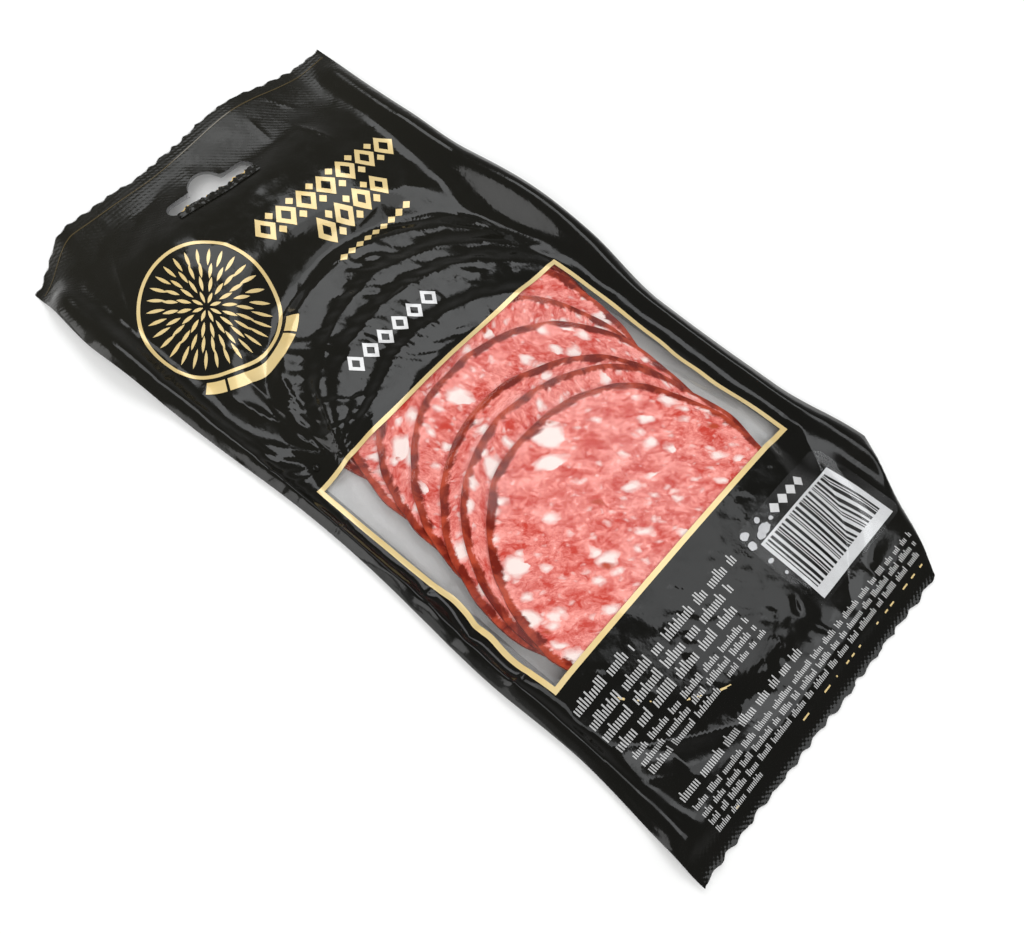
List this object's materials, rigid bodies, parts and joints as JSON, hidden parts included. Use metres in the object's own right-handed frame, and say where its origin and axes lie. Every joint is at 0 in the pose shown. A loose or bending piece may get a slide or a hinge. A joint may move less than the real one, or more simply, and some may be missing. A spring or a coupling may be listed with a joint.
{
  "type": "pack of sliced salami",
  "caption": "Flat sealed film pack of shingled salami slices, with crimped ends, a hang hole, a clear window in its dark front and a clear sticker.",
  "frame": {"origin": "under the middle of the pack, on the surface it lies on", "axes": "+X across the pack as its front print reads, +Y along it towards the end with the hang hole, +Z out of the printed front"},
  "size_m": [0.12, 0.248, 0.0136],
  "materials": {
    "film": "glossy black printed film",
    "clear_film": "glossy clear film of the window and the back",
    "sticker": "clear glossy sticker with a white printed panel",
    "gold_print": "gold ink under gloss film",
    "white_print": "white and grey ink under gloss film",
    "salami": "moist sliced salami with pale fat and a dark rim"
  },
  "bodies": {
    "root": {"pack": "film", "label": "sticker"}
  },
  "joints": []
}
